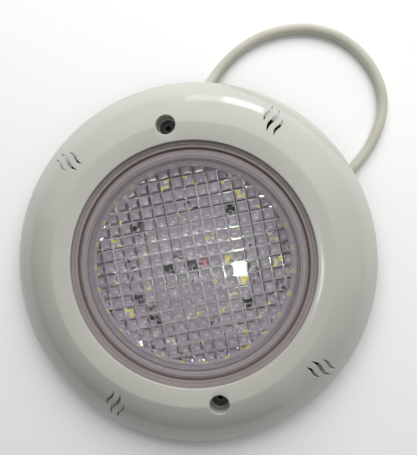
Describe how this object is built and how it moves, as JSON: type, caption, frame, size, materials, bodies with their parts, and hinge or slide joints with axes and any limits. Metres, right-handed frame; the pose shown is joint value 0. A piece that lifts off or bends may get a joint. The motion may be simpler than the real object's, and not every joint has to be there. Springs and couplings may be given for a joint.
{
  "type": "underwater pool light",
  "caption": "Round surface-mounted LED pool light with domed face ring, prismatic lens, LED board, wall bracket and coiled supply cord.",
  "frame": {"origin": "on the light's axis, in the plane of the bracket's back face that lies against the wall", "axes": "+Z is the way the lamp shines; the two screw wells lie on the Y axis; the cord leaves towards +Y and +X"},
  "size_m": [0.3224, 0.3208, 0.044],
  "materials": {
    "white_abs": "moulded, glossy",
    "grey_abs": "moulded, satin",
    "housing_abs": "moulded, satin",
    "clear_polycarbonate": "clear, polished",
    "sealant": "cured silicone",
    "solder_mask": "white solder mask",
    "aluminium": "rolled",
    "led_body": "white reflector plastic",
    "led_phosphor": "yellow phosphor in silicone",
    "black_epoxy": "moulded",
    "steel": "zinc plated",
    "insert_steel": "turned, knurled",
    "solder": "reflowed",
    "potting_resin": "cast",
    "seal_rubber": "moulded",
    "grey_nylon": "moulded",
    "cord_jacket": "extruded, matte",
    "core_brown": "extruded",
    "core_blue": "extruded",
    "lead_red": "extruded",
    "lead_black": "extruded",
    "tie_nylon": "moulded"
  },
  "bodies": {
    "bracket": {"wall_bracket": "grey_abs", "bracket_inserts": "insert_steel"},
    "lamp": {"rear_housing": "housing_abs", "heat_spreader": "aluminium", "led_board": "solder_mask", "led_packages": "led_body", "led_phosphors": "led_phosphor", "driver_chips": "black_epoxy", "chip_resistors": "black_epoxy", "edge_diodes": "black_epoxy", "bridge_rectifier": "black_epoxy", "board_screws": "steel", "lens": "clear_polycarbonate", "lens_sealant": "sealant", "gland_washer": "seal_rubber", "cord_potting": "potting_resin", "gland_body": "grey_nylon", "gland_seal": "seal_rubber", "gland_nut": "grey_nylon", "cord_entry": "cord_jacket", "supply_cord": "cord_jacket", "supply_cord_coil": "cord_jacket", "supply_cord_tail": "cord_jacket", "cord_tie": "tie_nylon", "core_brown": "core_brown", "core_blue": "core_blue", "core_ferrules": "steel", "lead_red": "lead_red", "lead_black": "lead_black", "solder_joints": "solder"},
    "ring": {"face_ring": "white_abs"}
  },
  "joints": [
    {"name": "lamp_lift", "type": "slide", "parent": "bracket", "child": "lamp", "axis": [0, 0, 1], "range_m": [0, 0.08]},
    {"name": "ring_lift", "type": "slide", "parent": "lamp", "child": "ring", "axis": [0, 0, 1], "range_m": [0, 0.08]}
  ]
}
